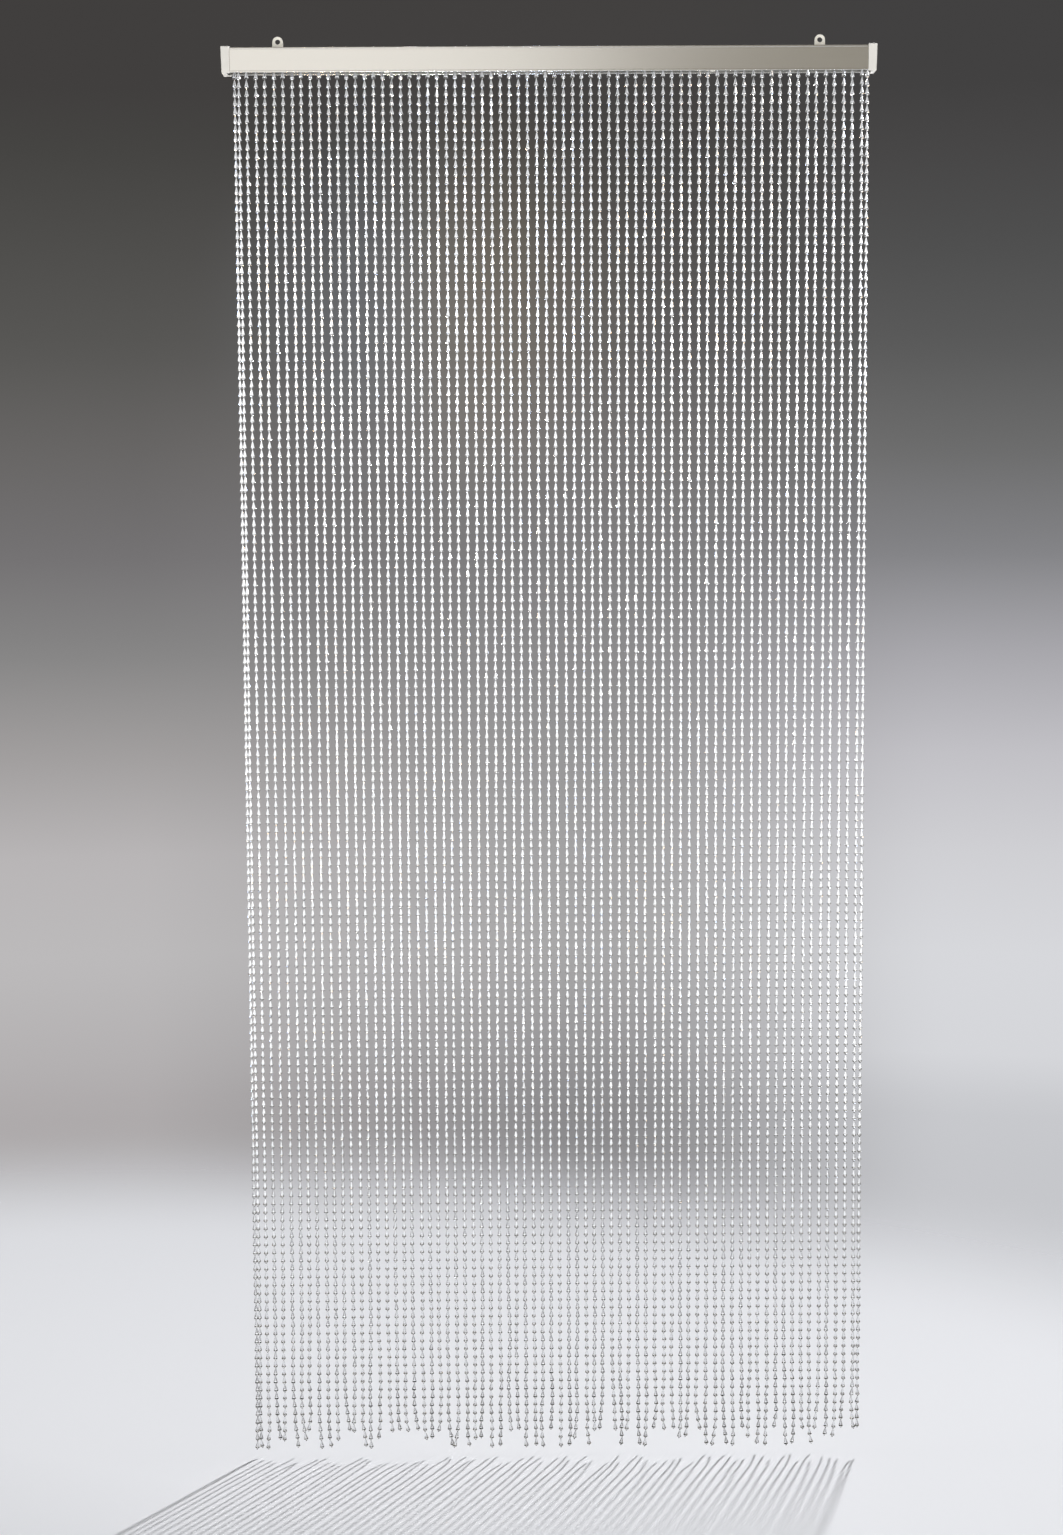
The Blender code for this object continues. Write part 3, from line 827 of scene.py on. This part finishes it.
def add_lamp(name, where, towards, width, height, brightness, colour, only_for_beads=False):
    """An area lamp. brightness is how bright its face looks, where 1 is a white page."""
    light = bpy.data.lights.new(name, "AREA")
    light.shape = "ELLIPSE" if only_for_beads else "RECTANGLE"
    light.size = width
    light.size_y = height
    light.energy = brightness * math.pi * width * height
    light.color = linear(colour)[:3]
    lamp = bpy.data.objects.new(name, light)
    bpy.context.scene.collection.objects.link(lamp)
    lamp.location = where
    lamp.rotation_euler = (Vector(towards) - Vector(where)).to_track_quat("-Z", "Y").to_euler()
    lamp.visible_camera = False
    lamp.visible_diffuse = not only_for_beads
    return lamp


front_box = add_lamp("soft_box_front_left", (-0.77, -2.80, 0.50), (-0.3, 0.0, -0.05), 1.9, 2.0, 0.815, "#FFFDFB")
front_box.visible_diffuse = False
for name, brightness in (("lamp_beads_block", 350.0), ("lamp_beads_pass", 1330.0)):
    hard_lamp = add_lamp(
        name, hard_lamp_place, hard_lamp_towards, hard_lamp_width, hard_lamp_height, brightness, "#FFFFFF")
    hard_lamp.visible_transmission = False
for node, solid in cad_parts.items():
    if node not in pair_names:
        opaque_pieces.objects.link(solid)
hard_lamp.light_linking.blocker_collection = opaque_pieces

# %% [markdown]
# ## Glints
# Three round lamps behind the curtain are hidden from the camera and from matt surfaces. They show only where a bead
# bends their light to the camera, as a glint. An even lamp would light up whole columns of beads. So the face of each
# is a field of small bright spots, brightest in the middle and gone at the rim, and one facet flashes where its
# neighbour doesn't. The first two are cool at their left and warm at their right.

# %% Glint lamps
spot_inside, spot_outside = 0.24, 0.32


def spotted_face(lamp, cool, middle, warm, strength, cells):
    """Bright spots on a lamp's face, brightest in its middle, none at its rim, coloured from side to side."""
    light = lamp.data
    light.use_nodes = True
    tree = light.node_tree
    tree.nodes.clear()
    place = add_node(tree, "ShaderNodeNewGeometry", {}).outputs["Parametric"]
    from_middle = add_node(tree, "ShaderNodeVectorMath", {
        0: place, 1: (0.5, 0.5, 0.0)}, operation="DISTANCE").outputs["Value"]
    falloff = add_node(tree, "ShaderNodeMapRange", {
        "Value": from_middle, "From Min": 0.0, "From Max": 0.5, "To Min": strength, "To Max": 0.0},
        interpolation_type="SMOOTHSTEP").outputs["Result"]
    across = add_node(tree, "ShaderNodeSeparateXYZ", {"Vector": place}).outputs["X"]
    ramp = add_node(tree, "ShaderNodeValToRGB", {"Fac": across})
    stops = ramp.color_ramp.elements
    stops[0].color = linear(cool)
    stops[1].color = linear(warm)
    stops.new(0.5).color = linear(middle)
    cell = add_node(tree, "ShaderNodeTexVoronoi", {"Vector": place, "Scale": cells}).outputs["Distance"]
    spots = add_node(tree, "ShaderNodeMapRange", {
        "Value": cell, "From Min": spot_inside, "From Max": spot_outside,
        "To Min": 1.0, "To Max": 0.0}).outputs["Result"]
    spotted = add_node(tree, "ShaderNodeMath", {0: falloff, 1: spots}, operation="MULTIPLY").outputs[0]
    face = add_node(tree, "ShaderNodeEmission", {"Color": ramp.outputs["Color"], "Strength": spotted})
    add_node(tree, "ShaderNodeOutputLight", {"Surface": face.outputs[0]})


strong_colours = ("#A8C8FF", "#FFFFFF", "#FFD08A")
faint_colours = ("#E0EAFF", "#FFFFFF", "#FFF4E0")
glint_lamps = (
    ("glint_lamp_low", (-0.21, 1.50, -0.63), (-0.21, 0.0, -0.63), 0.80, 0.95, strong_colours, 150.0, 18.0),
    ("glint_lamp_high", (-0.21, 1.50, 0.75), (-0.21, 0.0, -0.35), 0.80, 0.95, strong_colours, 150.0, 18.0),
    ("glint_lamp_right", (0.45, 1.50, -0.76), (0.45, 0.0, -0.76), 0.55, 0.70, faint_colours, 60.0, 12.0),
)
for name, place, towards, width, height, colours, strength, cells in glint_lamps:
    glints = add_lamp(name, place, towards, width, height, 1.0, "#FFFFFF", True)
    spotted_face(glints, *colours, strength, cells)
print(len(glint_lamps), "lamps make the glints")

# %% [markdown]
# ## Colours on the screen
# The Standard view shows each colour as it was written, with no film curve laid over it.

# %% View
bpy.context.scene.view_settings.view_transform = "Standard"
print("the view is", bpy.context.scene.view_settings.view_transform)
